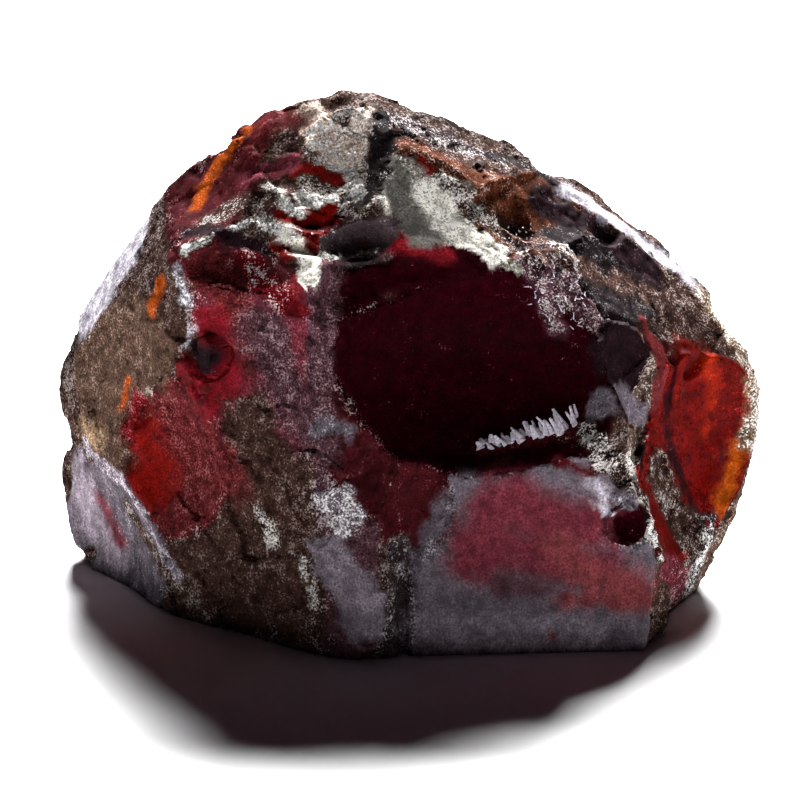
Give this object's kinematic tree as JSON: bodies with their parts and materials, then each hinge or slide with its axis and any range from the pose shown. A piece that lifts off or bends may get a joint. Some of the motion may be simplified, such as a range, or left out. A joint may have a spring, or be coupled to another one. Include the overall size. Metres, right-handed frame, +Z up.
{
  "type": "garnet crystal",
  "caption": "Rough garnet crystal: one broken, deep red see-through stone with frosted and glassy faces, standing on a flat base.",
  "frame": {"origin": "middle of the stone's bounding box, on the plane of its flat base", "axes": "+Z up from the base, +X to the right along the stone's length, +Y to the back, away from the face with the great scar"},
  "size_m": [0.0282, 0.0176, 0.0201],
  "materials": {
    "garnet": "see-through deep red, glassy on the shell-shaped scars, frosted grey on the rough faces and ridges"
  },
  "bodies": {
    "root": {"garnet_crystal": "garnet"}
  },
  "joints": []
}
